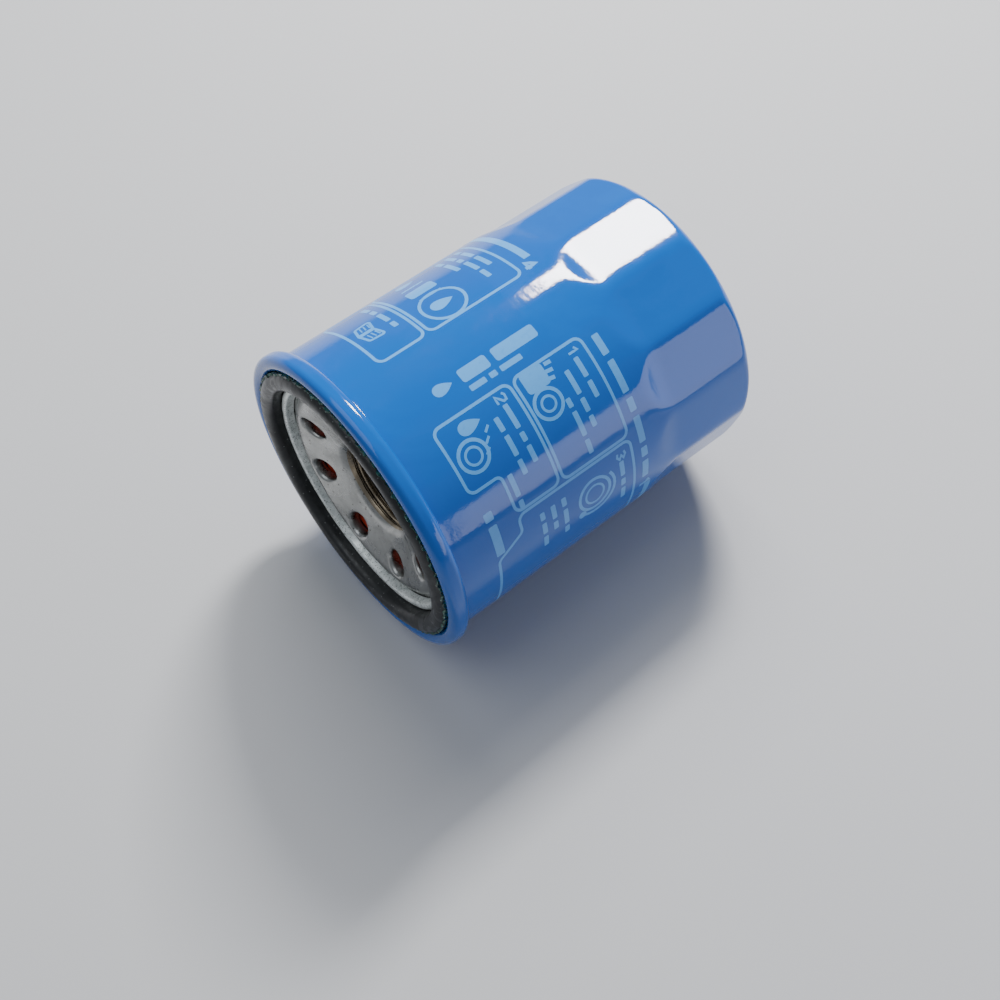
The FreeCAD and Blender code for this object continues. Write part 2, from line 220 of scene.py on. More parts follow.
def make_piece(name, vertices, faces, merge=1e-7):
    """Closed mesh from arrays: points closer than merge joined, faces turned outwards, shaded
    smooth but for sharp edges. It rides on the filter's fixed body."""
    mesh = bpy.data.meshes.new(name)
    mesh.from_pydata(vertices.reshape(-1, 3).tolist(), [], [list(face) for face in faces])
    work = bmesh.new()
    work.from_mesh(mesh)
    bmesh.ops.remove_doubles(work, verts=work.verts, dist=merge)
    bmesh.ops.dissolve_degenerate(work, edges=work.edges, dist=merge)
    wires = [edge for edge in work.edges if edge.is_wire]
    bmesh.ops.delete(work, geom=wires, context="EDGES")
    bmesh.ops.recalc_face_normals(work, faces=work.faces)
    open_edges = sum(not edge.is_manifold for edge in work.edges)
    work.to_mesh(mesh)
    work.free()
    mesh.shade_smooth()
    mesh.set_sharp_from_angle(angle=SHARP_ANGLE)
    piece = bpy.data.objects.new(name, mesh)
    bpy.context.collection.objects.link(piece)
    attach(piece, "filter")
    print(f"{name}: {len(mesh.polygons)} faces, {open_edges} open edges")
    return piece


def around(x, r, angle):
    """Points at the distance r from the X axis; angle 0 is +Y and a quarter turn is +Z."""
    return np.stack(np.broadcast_arrays(x, r * np.cos(angle), r * np.sin(angle)), axis=-1)


def turned(name, outline, columns=RING_COLUMNS, phase=0.0, shape=None):
    """Closed outline swept round the X axis. shape(x, r, angle) gives the final radius."""
    x, r = outline[:, 0][:, None], outline[:, 1][:, None]
    angle = phase + np.linspace(0, 2 * math.pi, columns, endpoint=False)[None]
    radius = r + 0 * angle if shape is None else shape(x, r, angle)
    faces = grid_faces(len(outline), columns, wrap_rows=True)
    return make_piece(name, around(x + 0 * angle, radius, angle), faces)


# %% [markdown]
# ## Shader helpers
# A finish is built from a few effects that several materials share: fine grain, smudges,
# specks and scratches. Each is a node group with named inputs, and puts out one value. The
# Principled shader stays in the material, where its gloss and metalness are plain numbers.

# %% Node helpers


def add(tree, kind, sockets=(), **settings):
    """Adds a node. sockets pairs an input's name or number with a value or an output to link."""
    node = tree.nodes.new(kind)
    for key, value in settings.items():
        setattr(node, key, value)
    for key, value in sockets:
        if isinstance(value, bpy.types.NodeSocket):
            tree.links.new(value, node.inputs[key])
        else:
            node.inputs[key].default_value = value
    return node


def group(name, inputs, build):
    """Node group with a Position input, float inputs with defaults, and one output, Value."""
    tree = bpy.data.node_groups.new(name, "ShaderNodeTree")
    tree.interface.new_socket("Position", in_out="INPUT", socket_type="NodeSocketVector")
    for key, value in inputs.items():
        socket = tree.interface.new_socket(key, in_out="INPUT", socket_type="NodeSocketFloat")
        socket.default_value = value
    tree.interface.new_socket("Value", in_out="OUTPUT", socket_type="NodeSocketFloat")
    entry, leave = tree.nodes.new("NodeGroupInput"), tree.nodes.new("NodeGroupOutput")
    tree.links.new(build(tree, entry.outputs), leave.inputs["Value"])
    return tree


def math_node(tree, operation, a, b=0.0):
    """The result of one math operation on two values or outputs."""
    return add(tree, "ShaderNodeMath", [(0, a), (1, b)], operation=operation).outputs[0]


# %% Shared effects


def build_grain(tree, entry):
    """Height: coarse noise plus a third as much of noise three times as fine."""
    coarse = add(tree, "ShaderNodeTexNoise",
                 [("Vector", entry["Position"]), ("Scale", entry["Scale"]), ("Detail", 2.0)])
    finer_scale = math_node(tree, "MULTIPLY", entry["Scale"], 3.1)
    fine = add(tree, "ShaderNodeTexNoise",
               [("Vector", entry["Position"]), ("Scale", finer_scale), ("Detail", 3.0)])
    third = math_node(tree, "MULTIPLY", fine.outputs["Fac"], 0.33)
    return math_node(tree, "ADD", coarse.outputs["Fac"], third)


def build_smudges(tree, entry):
    """Mask: warped noise, spread so that it reaches both ends of its range."""
    warp = add(tree, "ShaderNodeTexNoise",
               [("Vector", entry["Position"]), ("Scale", entry["Scale"]), ("Detail", 4.0),
                ("Roughness", 0.62), ("Distortion", 1.6)])
    spread = add(tree, "ShaderNodeMapRange",
                 [("Value", warp.outputs["Fac"]), ("From Min", entry["Low"]),
                  ("From Max", entry["High"])], interpolation_type="SMOOTHSTEP")
    return spread.outputs["Result"]


def build_specks(tree, entry):
    """Mask: small dots at random cell points, only in cells whose own colour is high."""
    cells = add(tree, "ShaderNodeTexVoronoi",
                [("Vector", entry["Position"]), ("Scale", entry["Scale"])])
    near = math_node(tree, "LESS_THAN", cells.outputs["Distance"], entry["Size"])
    tint = add(tree, "ShaderNodeSeparateColor", [("Color", cells.outputs["Color"])])
    chosen = math_node(tree, "GREATER_THAN", tint.outputs[0], entry["Rarity"])
    return math_node(tree, "MULTIPLY", near, chosen)


def build_scratches(tree, entry):
    """Mask: hairlines, where noise that is drawn out along one way crosses its mean."""
    stretched = add(tree, "ShaderNodeMapping",
                    [("Vector", entry["Position"]), ("Rotation", (0.35, 0.6, 0.4)),
                     ("Scale", (1.0, 0.06, 1.0))])
    noise = add(tree, "ShaderNodeTexNoise",
                [("Vector", stretched.outputs["Vector"]), ("Scale", entry["Scale"]),
                 ("Detail", 2.0)])
    offset = math_node(tree, "ABSOLUTE", math_node(tree, "SUBTRACT", noise.outputs["Fac"], 0.5))
    line = add(tree, "ShaderNodeMapRange",
               [("Value", offset), ("From Min", 0.0), ("From Max", entry["Width"]),
                ("To Min", 1.0), ("To Max", 0.0)])
    patches = add(tree, "ShaderNodeTexNoise",
                  [("Vector", entry["Position"]), ("Scale", 90.0)])
    some = add(tree, "ShaderNodeMapRange",
               [("Value", patches.outputs["Fac"]), ("From Min", 0.5), ("From Max", 0.6)])
    return math_node(tree, "MULTIPLY", line.outputs["Result"], some.outputs["Result"])


GRAIN = group("fine_grain", {"Scale": 1000.0}, build_grain)
SMUDGES = group("smudges", {"Scale": 100.0, "Low": 0.4, "High": 0.6}, build_smudges)
SPECKS = group("specks", {"Scale": 1500.0, "Size": 0.25, "Rarity": 0.6}, build_specks)
SCRATCHES = group("hairline_scratches", {"Scale": 1200.0, "Width": 0.012}, build_scratches)


# %% Material builder


class Finish:
    """A material under way: its tree, its object coordinates and its Principled shader."""

    def __init__(self, name, colour, roughness, metallic=0.0, **plain):
        self.material = bpy.data.materials.new(name)
        self.material.use_nodes = True
        self.material.diffuse_color = (*colour, 1)
        self.tree = self.material.node_tree
        self.shader = self.tree.nodes["Principled BSDF"]
        self.position = self.tree.nodes.new("ShaderNodeTexCoord").outputs["Object"]
        self.colour = None
        self.set("Base Color", (*colour, 1))
        self.set("Roughness", roughness)
        self.set("Metallic", metallic)
        for key, value in plain.items():
            self.set(key.replace("_", " "), value)

    def set(self, socket, value):
        """Sets a shader input to a value or links an output to it."""
        if isinstance(value, bpy.types.NodeSocket):
            self.tree.links.new(value, self.shader.inputs[socket])
        else:
            self.shader.inputs[socket].default_value = value

    def effect(self, tree, **inputs):
        """The value of a shared effect at the object's coordinates."""
        node = add(self.tree, "ShaderNodeGroup", node_tree=tree)
        self.tree.links.new(self.position, node.inputs["Position"])
        for key, value in inputs.items():
            node.inputs[key].default_value = value
        return node.outputs["Value"]

    def tint(self, mask, colour, amount=1.0):
        """Mixes a colour into the base colour where the mask is high."""
        base = self.colour or self.shader.inputs["Base Color"].default_value[:]
        factor = math_node(self.tree, "MULTIPLY", mask, amount)
        mixed = add(self.tree, "ShaderNodeMix", [(0, factor), (6, base), (7, (*colour, 1))],
                    data_type="RGBA")
        self.colour = mixed.outputs[2]
        self.set("Base Color", self.colour)

    def roughen(self, mask, low, high):
        """Roughness runs from low to high with the mask."""
        spread = add(self.tree, "ShaderNodeMapRange",
                     [("Value", mask), ("To Min", low), ("To Max", high)])
        self.set("Roughness", spread.outputs["Result"])

    def bump(self, height, depth):
        """Bump as deep as depth, in metres, on top of any bump already there."""
        existing = self.shader.inputs["Normal"].links
        sockets = [("Height", height), ("Distance", depth), ("Strength", 1.0)]
        if existing:
            sockets.append(("Normal", existing[0].from_socket))
        node = add(self.tree, "ShaderNodeBump", sockets)
        self.set("Normal", node.outputs["Normal"])

    def on(self, *pieces):
        """Puts the material on new pieces or on CAD nodes."""
        for piece in pieces:
            if piece.material_slots:
                for slot in piece.material_slots:
                    slot.link = "OBJECT"
                    slot.material = self.material
            else:
                piece.data.materials.append(self.material)


# %% [markdown]
# ## The can
# The can is drawn from one sheet, its open end is rolled over the lid, and fourteen flats are
# pressed in near the closed end. A subdivided box could be cut to this, but the flats' curved
# run-outs are simply where a plane meets a round wall. So the radius is the smaller of the
# round wall's and the flat plane's, with the meeting line softened.

# %% Can
SEAM_CURL = 1.65 * MM
SEAM_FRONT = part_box("can_shell")[0].x
SEAM_BACK = SEAM_FRONT + 2 * SEAM_CURL + 0.95 * MM
SHOULDER = END - 1.2 * MM
FLAT_START, FLAT_RAMP = 52.5 * MM, 10.0 * MM
FLAT_CORNER = 1.0218          # corner between flats over the inradius; a sharp one has 1.0257
FLAT_CLEAR = 0.3 * MM         # how far outside the wall a flat's plane starts
PANEL_FOOT, PANEL_EDGE, PANEL_BEND = 25.5 * MM, 17 * MM, 8 * MM
CURL_EDGE = SEAM_FRONT + SEAM_CURL + 0.05 * MM


def soft_min(a, b, width):
    """The smaller of two values, with the corner where they cross rounded over the width."""
    overlap = np.maximum(width - np.abs(a - b), 0) / width
    return np.minimum(a, b) - overlap**2 * width / 4


def pressed_flats(x, r, angle, wall):
    """Radius with the flats: a plane at distance d from the axis lies at d / cos(angle from
    the flat's middle). d eases from outside the wall to its full depth over the ramp."""
    pitch = 2 * math.pi / FLAT_COUNT
    off_centre = (angle - FLAT_PHASE + pitch / 2) % pitch - pitch / 2
    ramp = np.clip((x - FLAT_START) / FLAT_RAMP, 0, 1)
    ease = ramp**2 * (3 - 2 * ramp)
    outermost = CAN_RADIUS + FLAT_CLEAR
    plane = outermost - ease * (outermost - FLAT_INRADIUS) - wall
    flat = soft_min(plane / np.cos(off_centre), plane * FLAT_CORNER, 0.3 * MM)
    pressed = soft_min(r + 0 * angle, flat, 0.22 * MM)
    return np.where(x > FLAT_START, pressed, r + 0 * angle)


def can_outline():
    """Outside from the curl's edge over the seam to the closed end's middle, and back inside."""
    seam_inner = SEAM_RADIUS - 2 * SEAM_CURL - 0.05 * MM
    corner, w = 4.5 * MM, CAN_WALL
    outside = rounded([
        (CURL_EDGE, seam_inner, 0),
        (SEAM_FRONT, seam_inner, SEAM_CURL * 0.99),
        (SEAM_FRONT, SEAM_RADIUS, SEAM_CURL),
        (SEAM_BACK, SEAM_RADIUS, SEAM_CURL),
        (SEAM_BACK, CAN_RADIUS, 0.25 * MM),
        (SHOULDER, CAN_RADIUS, corner),
        (SHOULDER, PANEL_FOOT, PANEL_BEND),
        (END, PANEL_EDGE, PANEL_BEND),
        (END, 0, 0),
    ], steps=13)
    inside = rounded([
        (END - w, 0, 0),
        (END - w, PANEL_EDGE, PANEL_BEND),
        (SHOULDER - w, PANEL_FOOT, PANEL_BEND),
        (SHOULDER - w, CAN_RADIUS - w, corner - w),
        (SEAM_BACK - w, CAN_RADIUS - w, 0.85 * MM),
        (SEAM_BACK - w, SEAM_RADIUS - w, SEAM_CURL - w),
        (SEAM_FRONT + w, SEAM_RADIUS - w, SEAM_CURL - w),
        (SEAM_FRONT + w, seam_inner + w, SEAM_CURL - w),
        (CURL_EDGE, seam_inner + w, 0),
    ], steps=5)
    return refined(outside, 0.9 * MM, closed=False), refined(inside, 1.8 * MM, closed=False)


outside, inside = can_outline()
wall = np.repeat([0, CAN_WALL], [len(outside), len(inside)])[:, None]
can = turned("can", np.vstack([outside, inside]), columns=FLAT_COUNT * 28, phase=FLAT_PHASE,
             shape=lambda x, r, angle: pressed_flats(x, r, angle, wall))
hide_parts("can_shell")

# %% Blue enamel
enamel = Finish("blue_enamel", (0.002, 0.098, 0.430), 0.08, Specular_IOR_Level=0.5)
enamel.roughen(enamel.effect(SMUDGES, Scale=60.0, Low=0.35, High=0.75), 0.05, 0.12)
enamel.tint(enamel.effect(SMUDGES, Scale=35.0), (0.003, 0.115, 0.480), 0.35)
enamel.bump(enamel.effect(GRAIN, Scale=330.0), 0.016 * MM)
enamel.bump(enamel.effect(GRAIN, Scale=1100.0), 0.010 * MM)
enamel.on(can)

# %% [markdown]
# ## Lid, gasket and sealing compound
# The lid is thin zinc-plated sheet: a groove that holds the gasket, and a lip rolled over its
# inner edge. The gasket is a moulded ring with a nearly half-round face. Between it and the
# seam the sealing compound has been squeezed out unevenly, so its ring gets a lumpy surface
# by adding waves whose counts round the ring are whole numbers, so that it closes on itself.

# %% Lid
LID_WALL = 0.6 * MM
LID_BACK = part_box("seaming_lid")[1].x
LID_OUTER = 31.45 * MM
LID_INNER = 26.85 * MM
LID_CREST = GASKET_BACK - 1.6 * MM
LID_FLANGE = SEAM_FRONT + SEAM_CURL + 0.1 * MM
LID_FLANGE_EDGE = LID_OUTER + 2.2 * MM
LIP_WIDTH, LIP_BEND = 1.55 * MM, 0.74 * MM


def lid_outline():
    """Gasket side from the hidden flange to the lip's edge, and back along the other side."""
    w, crest = LID_WALL, LID_INNER - LIP_WIDTH
    return rounded([
        (LID_FLANGE, LID_FLANGE_EDGE, 0),
        (LID_FLANGE, LID_OUTER, 0.7 * MM),
        (GASKET_BACK, LID_OUTER, 0.3 * MM),
        (GASKET_BACK, LID_INNER, 0.3 * MM),
        (LID_CREST, LID_INNER, LIP_BEND),
        (LID_CREST, crest, LIP_BEND),
        (LID_BACK - 0.25 * MM, crest - 0.4 * MM, 0),
        (LID_BACK - 0.1 * MM, crest + 0.15 * MM, 0),
        (LID_CREST + w, crest + 0.45 * MM, 0.12 * MM),
        (LID_CREST + w, LID_INNER - w, 0.15 * MM),
        (LID_BACK, LID_INNER - w, 0.2 * MM),
        (LID_BACK, LID_OUTER + w, 0.85 * MM),
        (LID_FLANGE + w, LID_OUTER + w, 0.12 * MM),
        (LID_FLANGE + w, LID_FLANGE_EDGE, 0),
    ], steps=9)


def lid_ripple(x, r, angle):
    """Faint unevenness of the rolled lip."""
    on_lip = np.clip((LID_INNER - 0.3 * MM - r) / (1.2 * MM), 0, 1)
    waves = np.sin(9 * angle + 0.6) + 0.6 * np.sin(23 * angle + 2.1) + 0.4 * np.sin(41 * angle)
    return r + on_lip * 0.022 * MM * waves


lid = turned("lid", lid_outline(), shape=lid_ripple)
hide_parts("seaming_lid")

zinc = Finish("whitened_zinc", (0.76, 0.80, 0.78), 0.38, metallic=0.6)
zinc.tint(zinc.effect(SMUDGES, Scale=420.0, Low=0.45, High=0.62), (0.36, 0.41, 0.39), 0.5)
zinc.tint(zinc.effect(SMUDGES, Scale=160.0, Low=0.5, High=0.7), (0.90, 0.93, 0.91), 0.6)
zinc.tint(zinc.effect(SPECKS, Scale=3200.0, Size=0.38, Rarity=0.7), (0.10, 0.11, 0.10), 0.75)
zinc.roughen(zinc.effect(SMUDGES, Scale=300.0), 0.30, 0.55)
zinc.bump(zinc.effect(GRAIN, Scale=900.0), 0.03 * MM)
zinc.on(lid)

# %% Gasket
GASKET_INNER = GASKET_RADIUS - 4.0 * MM
GASKET_ROUND, GASKET_FOOT_ROUND = 1.85 * MM, 0.5 * MM
GASKET_FOOT = GASKET_BACK - 0.02 * MM


def gasket_outline():
    """Nearly half-round face, straight walls and a rounded foot."""
    return refined(rounded([
        (0.0, GASKET_INNER, GASKET_ROUND),
        (0.0, GASKET_RADIUS, GASKET_ROUND),
        (GASKET_FOOT, GASKET_RADIUS, GASKET_FOOT_ROUND),
        (GASKET_FOOT, GASKET_INNER, GASKET_FOOT_ROUND),
    ], steps=9), 0.5 * MM)


gasket = turned("gasket", gasket_outline())
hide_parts("sealing_gasket")

rubber = Finish("gasket_rubber", (0.010, 0.011, 0.012), 0.4)
rubber.tint(rubber.effect(SMUDGES, Scale=140.0, Low=0.46, High=0.75), (0.034, 0.037, 0.038), 0.7)
rubber.tint(rubber.effect(SPECKS, Scale=1500.0, Size=0.22, Rarity=0.8), (0.16, 0.17, 0.17), 0.7)
rubber.roughen(rubber.effect(SMUDGES, Scale=220.0), 0.30, 0.46)
rubber.bump(rubber.effect(GRAIN, Scale=1100.0), 0.025 * MM)
rubber.on(gasket)

# %% Sealing compound
COMPOUND_FRONT = 0.98 * MM
COMPOUND_BACK = GASKET_BACK - 0.3 * MM
COMPOUND_RADIUS = 31.26 * MM  # at its front, just inside the seam's edge
COMPOUND_COLUMNS = 640
STIRRED_DEPTH = 0.75 * MM     # how far back from the front the surface is uneven


def lumps(x, r, angle):
    """Radius beyond the gasket, stirred by waves of whole counts that lean with x."""
    lean = x / MM
    waves = (np.sin(57 * angle + 2 * lean) + np.sin(131 * angle - 3 * lean + 1.0)
             + 0.8 * np.sin(223 * angle + 4 * lean + 2.0))
    return r + 0.012 * MM * waves * (r > GASKET_RADIUS + 0.1 * MM)


def lumpy_compound():
    """Ring between the gasket and the seam's inner edge, uneven at its front, which reaches
    a little over the gasket's rounded shoulder."""
    inner, outer = GASKET_RADIUS - 0.4 * MM, LID_OUTER - 0.04 * MM
    outline = refined(rounded([
        (COMPOUND_FRONT, inner, 0),
        (COMPOUND_BACK, inner, 0),
        (COMPOUND_BACK, outer, 0),
        (LID_FLANGE, outer, 0),
        (LID_FLANGE - 0.1 * MM, COMPOUND_RADIUS, 0),
        (COMPOUND_FRONT, COMPOUND_RADIUS, 0),
    ], steps=2), 0.25 * MM)
    x, r = outline[:, 0][:, None], outline[:, 1][:, None]
    angle = np.linspace(0, 2 * math.pi, COMPOUND_COLUMNS, endpoint=False)[None]
    front = np.clip((COMPOUND_FRONT + STIRRED_DEPTH - x) / STIRRED_DEPTH, 0, 1)
    waves = (np.sin(37 * angle) + np.sin(83 * angle + 1.3) + 0.7 * np.sin(149 * angle + 2.2)
             + 0.5 * np.sin(211 * angle + 0.4))
    moved = x + front * 0.13 * MM * waves
    grid = around(moved, lumps(x, r, angle), angle)
    faces = grid_faces(len(outline), COMPOUND_COLUMNS, wrap_rows=True)
    return make_piece("compound", grid, faces)


compound = lumpy_compound()
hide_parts("seam_compound")

putty = Finish("sealing_compound", (0.010, 0.030, 0.022), 0.3)
putty.tint(putty.effect(SMUDGES, Scale=700.0, Low=0.45, High=0.6), (0.035, 0.15, 0.11), 0.85)
putty.tint(putty.effect(SPECKS, Scale=2200.0, Size=0.3, Rarity=0.65), (0.30, 0.42, 0.38), 0.7)
putty.roughen(putty.effect(SMUDGES, Scale=500.0), 0.18, 0.5)
putty.bump(putty.effect(GRAIN, Scale=1500.0), 0.06 * MM)
putty.on(compound)

# %% [markdown]
# ## The base plate
# The plate is pressed from thick strip: a flat rim under the lid, a raised ring, a shallow
# cone with eight inlet holes, and a collar with the thread. A Boolean could cut the holes, but
# it leaves sharp rims and long thin faces. Here each eighth of the cone is a patch that runs
# from its own border into its hole, over a rounded rim, down the wall and out on the other
# side. The thread is a groove whose place along X advances by one pitch per turn.

# %% Base plate profile
PLATE_WALL = 2.8 * MM
COLLAR_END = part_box("base_plate")[1].x
THREAD_MAJOR = 10.0 * MM
THREAD_PITCH = 1.5 * MM
THREAD_FORM = 0.5412          # depth of an internal metric thread over its pitch
THREAD_MINOR = THREAD_MAJOR - THREAD_FORM * THREAD_PITCH
CONE = 0.30                   # fall of the plate towards its collar, along X over radius
HOLE_COUNT = 8
HOLE_PHASE = math.radians(15.1)
HOLE_CIRCLE = 18.1 * MM
HUMP_RADIUS, STEP_RADIUS, RIM_RADIUS = 22.6 * MM, 24.3 * MM, 30.7 * MM
HUMP_FRONT = LID_BACK - 1.8 * MM
MOUTH = HUMP_FRONT + (HUMP_RADIUS - THREAD_MINOR) * CONE
PATCH_INNER, PATCH_OUTER = 13.3 * MM, 22.0 * MM
HOLE_RADIAL, HOLE_TANGENTIAL, HOLE_ROUND = 2.9 * MM, 2.7 * MM, 0.85 * MM
COLUMNS = HOLE_COUNT * 40
APART = 0.01 * MM             # keeps a profile's own points off the border's radius
BORDER_JOIN = 2e-6            # points of neighbouring patches this close become one

front_side = rounded([
    (LID_BACK, RIM_RADIUS, 0),
    (LID_BACK, STEP_RADIUS, 0.6 * MM),
    (HUMP_FRONT, HUMP_RADIUS, 3.2 * MM),
    (MOUTH, THREAD_MINOR, 3.6 * MM),
    (COLLAR_END, THREAD_MINOR, 0),
], steps=15)


def slope_of(points, radius):
    """x of a side at a radius, read from its outline between the collar and the rim."""
    order = np.argsort(points[:, 1])
    return np.interp(radius, points[order, 1], points[order, 0])


fine_front = refined(front_side, 0.25 * MM, closed=False)
back_side = rounded([
    (LID_BACK + PLATE_WALL, RIM_RADIUS, 0),
    (LID_BACK + PLATE_WALL, 23.1 * MM, 3.4 * MM),
    (LID_BACK + 1.38 * MM, 21.75 * MM, 0.4 * MM),
    (MOUTH + 2.09 * MM, THREAD_MINOR + PLATE_WALL, 0.8 * MM),
    (COLLAR_END, THREAD_MINOR + PLATE_WALL, 0),
], steps=9)
print("plate front", round(fine_front[:, 0].min() / MM, 2), "mm, mouth", round(MOUTH / MM, 2))

# %% Threaded collar and rim


def threaded(x, r, angle):
    """Radius with a right-hand thread: a 60-degree groove, cut from the minor radius to the
    major one, whose middle is where x / pitch - angle / turn is a whole number."""
    turn = x / THREAD_PITCH - angle / (2 * math.pi)
    from_middle = np.abs((turn + 0.5) % 1 - 0.5) * THREAD_PITCH
    full = THREAD_MAJOR - THREAD_MINOR
    depth = full - (from_middle - THREAD_PITCH / 16) * math.tan(math.radians(60))
    groove = THREAD_MINOR + soft_min(depth, full + 0 * depth, 0.08 * MM)
    bored = -soft_min(-(r + 0 * angle), -groove, 0.08 * MM)
    in_bore = (r < THREAD_MAJOR + 0.5 * MM) & (x < COLLAR_END - 0.2 * MM)
    return np.where(in_bore, bored, r + 0 * angle)


near = fine_front[fine_front[:, 1] < PATCH_INNER - APART]
bore = refined(near, 0.11 * MM, closed=False)
bore = np.vstack([[(slope_of(fine_front, PATCH_INNER), PATCH_INNER)], bore])
collar_back = back_side[back_side[:, 1] < PATCH_INNER - APART]
collar_back = np.vstack([[(slope_of(back_side, PATCH_INNER), PATCH_INNER)],
                         refined(collar_back, 1.2 * MM, closed=False)])
collar = np.vstack([bore, collar_back[::-1]])

far = fine_front[fine_front[:, 1] > PATCH_OUTER + APART]
rim_front = np.vstack([far, [(slope_of(fine_front, PATCH_OUTER), PATCH_OUTER)]])
rim_back = back_side[back_side[:, 1] > PATCH_OUTER + APART]
rim_back = np.vstack([rim_back, [(slope_of(back_side, PATCH_OUTER), PATCH_OUTER)]])
rim = np.vstack([rim_front[::-1], rim_back])

# %% Patches with holes


def patch_border(inner, outer, half, steps):
    """Border of one eighth of the ring, as (radius, angle) from its middle, all one way round."""
    across = np.linspace(-half, half, steps + 1)[:-1]
    out = np.linspace(inner, outer, steps // 2 + 1)[:-1]
    return np.concatenate([
        np.stack([np.full(steps, inner), across], 1),
        np.stack([out, np.full(steps // 2, half)], 1),
        np.stack([np.full(steps, outer), -across], 1),
        np.stack([inner + outer - out, np.full(steps // 2, -half)], 1),
    ])


def holed_patch(index, half=math.pi / HOLE_COUNT, steps=COLUMNS // HOLE_COUNT):
    """Grid of rings: in from the front border to the rim, down the hole and out to the back
    border. The rim is a quarter round whose slope joins the cone."""
    border = patch_border(PATCH_INNER, PATCH_OUTER, half, steps)
    u = border[:, 0] * np.cos(border[:, 1]) - HOLE_CIRCLE
    v = border[:, 0] * np.sin(border[:, 1])
    around_hole = np.arctan2(v / HOLE_TANGENTIAL, u / HOLE_RADIAL)
    unit = np.stack([np.cos(around_hole), np.sin(around_hole)], 1)
    edge = unit * [HOLE_RADIAL + HOLE_ROUND, HOLE_TANGENTIAL + HOLE_ROUND]
    wall = unit * [HOLE_RADIAL, HOLE_TANGENTIAL]
    border_uv = np.stack([u, v], 1)
    share = (1 - np.linspace(0, 1, 8))[:, None, None]
    flat = border_uv * share + edge * (1 - share)
    turn = np.linspace(0, math.pi / 2, 7)[1:, None, None]
    bend = edge * (1 - np.sin(turn)) + wall * np.sin(turn)
    dip = HOLE_ROUND * (1 - np.cos(turn[:, :, 0])) + 0 * unit[:, 0]

    def place(uv, side, sink):
        """Points of the patch at x = the side's slope at their radius, plus the sink."""
        y, z = HOLE_CIRCLE + uv[..., 0], uv[..., 1]
        x = slope_of(side, np.hypot(y, z)) + sink
        turned_by = HOLE_PHASE + index * 2 * half
        return np.stack([x, y * math.cos(turned_by) - z * math.sin(turned_by),
                         y * math.sin(turned_by) + z * math.cos(turned_by)], axis=-1)

    zero = np.zeros(flat.shape[:2])
    front = [place(flat, fine_front, zero), place(bend, fine_front, dip)]
    rear = [place(bend[::-1], back_side, -dip[::-1]), place(flat[::-1], back_side, zero)]
    return np.concatenate(front + rear)


def base_plate():
    """Collar, rim and eight patches, which share the points along their borders."""
    angle = HOLE_PHASE + (np.arange(COLUMNS)[None] / COLUMNS - 0.5 / HOLE_COUNT) * 2 * math.pi
    vertices, faces, count = [], [], 0
    for outline, shape in ((collar, threaded), (rim, None)):
        x, r = outline[:, 0][:, None], outline[:, 1][:, None]
        radius = shape(x, r, angle) if shape else r + 0 * angle
        vertices.append(around(x + 0 * angle, radius, angle).reshape(-1, 3))
        faces.append(grid_faces(len(outline), COLUMNS, start=count))
        count += len(outline) * COLUMNS
    for index in range(HOLE_COUNT):
        patch = holed_patch(index)
        vertices.append(patch.reshape(-1, 3))
        faces.append(grid_faces(*patch.shape[:2], start=count))
        count += patch.shape[0] * patch.shape[1]
    return make_piece("threaded_plate", np.concatenate(vertices), np.concatenate(faces),
                      merge=BORDER_JOIN)


plate = base_plate()
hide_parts("base_plate")

# %% Plate finish
# Within the thread's major radius the steel gets a brown tint.
steel = Finish("satin_steel", (0.37, 0.375, 0.365), 0.34, metallic=1.0)
steel.tint(steel.effect(SMUDGES, Scale=110.0, Low=0.4, High=0.7), (0.20, 0.20, 0.19), 0.6)
steel.tint(steel.effect(SMUDGES, Scale=260.0, Low=0.55, High=0.75), (0.42, 0.425, 0.41), 0.5)
steel.tint(steel.effect(SCRATCHES, Scale=900.0), (0.55, 0.55, 0.54), 0.5)
apart = add(steel.tree, "ShaderNodeSeparateXYZ", [("Vector", steel.position)])
squared = [math_node(steel.tree, "MULTIPLY", apart.outputs[axis], apart.outputs[axis])
           for axis in "YZ"]
radius = math_node(steel.tree, "SQRT", math_node(steel.tree, "ADD", *squared))
in_bore = math_node(steel.tree, "LESS_THAN", radius, THREAD_MAJOR + 0.1 * MM)
steel.tint(in_bore, (0.24, 0.17, 0.08), 0.65)
steel.tint(steel.effect(SPECKS, Scale=900.0, Size=0.2, Rarity=0.8), (0.08, 0.07, 0.06), 0.7)
steel.roughen(steel.effect(SMUDGES, Scale=180.0, Low=0.3, High=0.7), 0.22, 0.42)
steel.bump(steel.effect(GRAIN, Scale=700.0), 0.03 * MM)
steel.on(plate)

# %% [markdown]
# ## The anti-drain valve
# A soft silicone collar fits round the threaded collar, and its flap lies on the inlet holes.
# Through each hole a patch of its bright red back shows. Nothing more of it is in view, so
# the CAD mesh stays as it is and gets a satin rubber finish.

# %% Anti-drain valve
silicone = Finish("red_silicone", (0.52, 0.045, 0.012), 0.38)
silicone.tint(silicone.effect(SMUDGES, Scale=180.0, Low=0.4, High=0.7), (0.34, 0.02, 0.008), 0.6)
silicone.roughen(silicone.effect(SMUDGES, Scale=250.0), 0.28, 0.5)
silicone.bump(silicone.effect(GRAIN, Scale=900.0), 0.03 * MM)
silicone.on(frame["nodes"]["anti_drain_valve"])

# %% [markdown]
# ## The print
# The can is printed in one pale ink. The marks are thin closed slabs of ink, laid out flat in
# millimetres and wrapped round the can. A texture would be the common way, but slabs keep
# crisp edges at any distance. Frames are ribbons along rounded paths. Where a real can carries
# words, rows of plain bars stand for them, and the only characters are the panels' numbers.

